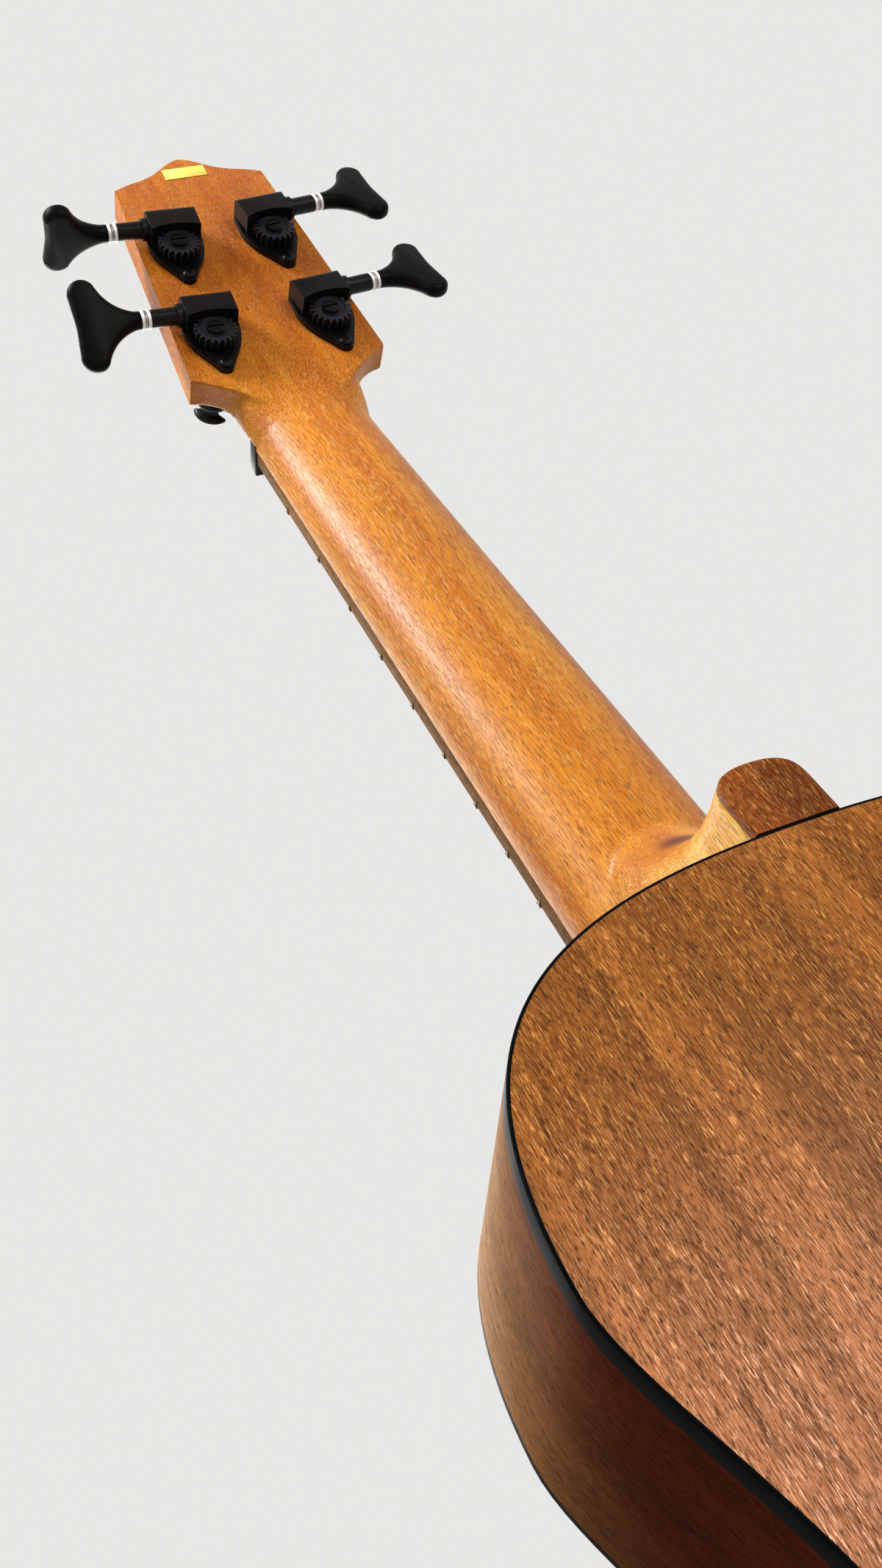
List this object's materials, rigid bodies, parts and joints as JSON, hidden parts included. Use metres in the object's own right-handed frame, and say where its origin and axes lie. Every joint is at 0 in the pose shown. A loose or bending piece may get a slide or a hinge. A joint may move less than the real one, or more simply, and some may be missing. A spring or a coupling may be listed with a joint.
{
  "type": "bass ukulele",
  "caption": "Short-scale bass ukulele lying on its back: figure-eight hollow body with black bindings, heeled neck, tilted ogee head and open worm-geared tuners.",
  "frame": {"origin": "middle of the bounding box on the plane of the flat back", "axes": "+X along the neck towards the head, +Y to the bass side, +Z from the back to the strings"},
  "size_m": [0.7675, 0.254, 0.0883],
  "materials": {
    "body_wood": "satin",
    "neck_wood": "satin",
    "board_wood": "satin",
    "spruce": "matte",
    "binding": "gloss",
    "black_plastic": "satin",
    "saddle_plastic": "satin",
    "black_metal": "gloss",
    "wheel_steel": "satin",
    "steel": "brushed",
    "string": "satin",
    "label": "satin"
  },
  "bodies": {
    "instrument": {"back": "body_wood", "top": "body_wood", "rib_bass": "body_wood", "rib_treble": "body_wood", "back_binding": "binding", "top_binding": "binding", "back_lining_bass": "spruce", "top_lining_bass": "spruce", "back_lining_treble": "spruce", "top_lining_treble": "spruce", "neck_block": "neck_wood", "tail_block": "neck_wood", "upper_brace": "spruce", "lower_brace": "spruce", "back_brace_upper": "spruce", "back_brace_lower": "spruce", "fan_brace_bass": "spruce", "fan_brace_treble": "spruce", "bridge_plate": "spruce", "end_pin_jack": "black_metal", "neck": "neck_wood", "heel_cap": "body_wood", "label": "label", "fretboard": "board_wood", "nut": "black_plastic", "bridge": "board_wood", "pickup_strip": "steel", "saddle": "saddle_plastic", "tuner_housing_e": "black_metal", "post_bushing_e": "black_metal", "tuner_screw_e": "black_metal", "string_e": "string", "tuner_housing_a": "black_metal", "post_bushing_a": "black_metal", "tuner_screw_a": "black_metal", "string_a": "string", "tuner_housing_d": "black_metal", "post_bushing_d": "black_metal", "tuner_screw_d": "black_metal", "string_d": "string", "tuner_housing_g": "black_metal", "post_bushing_g": "black_metal", "tuner_screw_g": "black_metal", "string_g": "string"},
    "tuning_key_e": {"worm_shaft_e": "black_metal", "key_e": "black_metal"},
    "post_e": {"worm_wheel_e": "wheel_steel", "string_post_e": "black_metal"},
    "tuning_key_a": {"worm_shaft_a": "black_metal", "key_a": "black_metal"},
    "post_a": {"worm_wheel_a": "wheel_steel", "string_post_a": "black_metal"},
    "tuning_key_d": {"worm_shaft_d": "black_metal", "key_d": "black_metal"},
    "post_d": {"worm_wheel_d": "wheel_steel", "string_post_d": "black_metal"},
    "tuning_key_g": {"worm_shaft_g": "black_metal", "key_g": "black_metal"},
    "post_g": {"worm_wheel_g": "wheel_steel", "string_post_g": "black_metal"}
  },
  "joints": [
    {"name": "key_turn_e", "type": "hinge", "parent": "instrument", "child": "tuning_key_e", "pos_m": [0.292, 0.02073, 0.03296], "axis": [0.0666, 0.9977, -0.0154], "continuous": true},
    {"name": "post_turn_e", "type": "hinge", "parent": "instrument", "child": "post_e", "pos_m": [0.2837, 0.0214, 0.04022], "axis": [0.2259, 0, 0.9741], "continuous": true, "deforming": ["string_e"]},
    {"name": "key_turn_a", "type": "hinge", "parent": "instrument", "child": "tuning_key_a", "pos_m": [0.3372, 0.01743, 0.02248], "axis": [0.0666, 0.9977, -0.0154], "continuous": true},
    {"name": "post_turn_a", "type": "hinge", "parent": "instrument", "child": "post_a", "pos_m": [0.3289, 0.0181, 0.02974], "axis": [0.2259, 0, 0.9741], "continuous": true, "deforming": ["string_a"]},
    {"name": "key_turn_d", "type": "hinge", "parent": "instrument", "child": "tuning_key_d", "pos_m": [0.3372, -0.01743, 0.02248], "axis": [0.0666, -0.9977, -0.0154], "continuous": true},
    {"name": "post_turn_d", "type": "hinge", "parent": "instrument", "child": "post_d", "pos_m": [0.3289, -0.0181, 0.02974], "axis": [0.2259, 0, 0.9741], "continuous": true, "deforming": ["string_d"]},
    {"name": "key_turn_g", "type": "hinge", "parent": "instrument", "child": "tuning_key_g", "pos_m": [0.292, -0.02073, 0.03296], "axis": [0.0666, -0.9977, -0.0154], "continuous": true},
    {"name": "post_turn_g", "type": "hinge", "parent": "instrument", "child": "post_g", "pos_m": [0.2837, -0.0214, 0.04022], "axis": [0.2259, 0, 0.9741], "continuous": true, "deforming": ["string_g"]}
  ],
  "couplings": [
    {"joint": "post_turn_e", "follows": "key_turn_e", "ratio": -0.05},
    {"joint": "post_turn_a", "follows": "key_turn_a", "ratio": -0.05},
    {"joint": "post_turn_d", "follows": "key_turn_d", "ratio": 0.05},
    {"joint": "post_turn_g", "follows": "key_turn_g", "ratio": 0.05}
  ]
}
